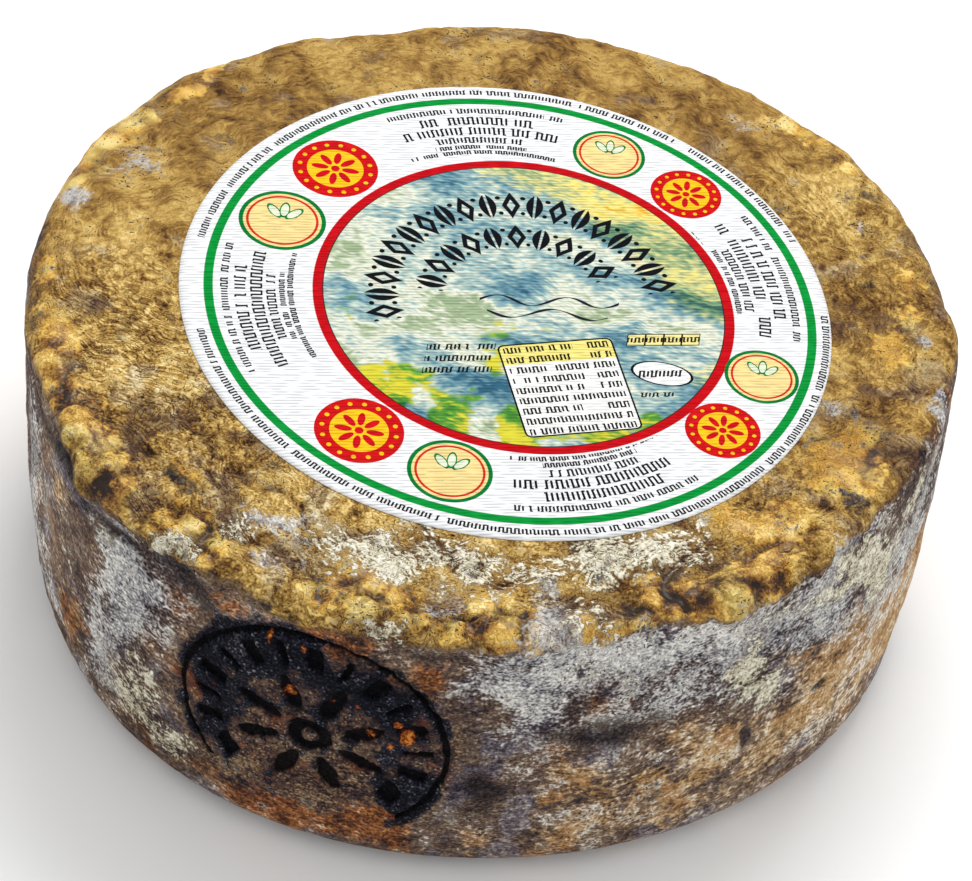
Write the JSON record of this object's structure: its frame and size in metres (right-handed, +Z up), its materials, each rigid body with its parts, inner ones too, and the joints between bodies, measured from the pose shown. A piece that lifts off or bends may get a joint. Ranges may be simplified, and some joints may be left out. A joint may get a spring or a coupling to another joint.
{
  "type": "pecorino cheese wheel",
  "caption": "Whole aged sheep's-milk cheese: a low round wheel with a mottled lumpy rind, a round paper label on its top face and a round mark burnt into its side.",
  "frame": {"origin": "middle of the wheel's outline, on the surface that it stands on", "axes": "+Z up, out of the labelled top face; -Y towards the front, where the burnt mark sits a little to the left"},
  "size_m": [0.2046, 0.2006, 0.0775],
  "materials": {
    "rind": null,
    "label_paper": "matt laid paper with a printed green ring and red ring, coloured fields and plain dashes"
  },
  "bodies": {
    "root": {"cheese_wheel": "rind", "paper_label": "label_paper"}
  },
  "joints": []
}
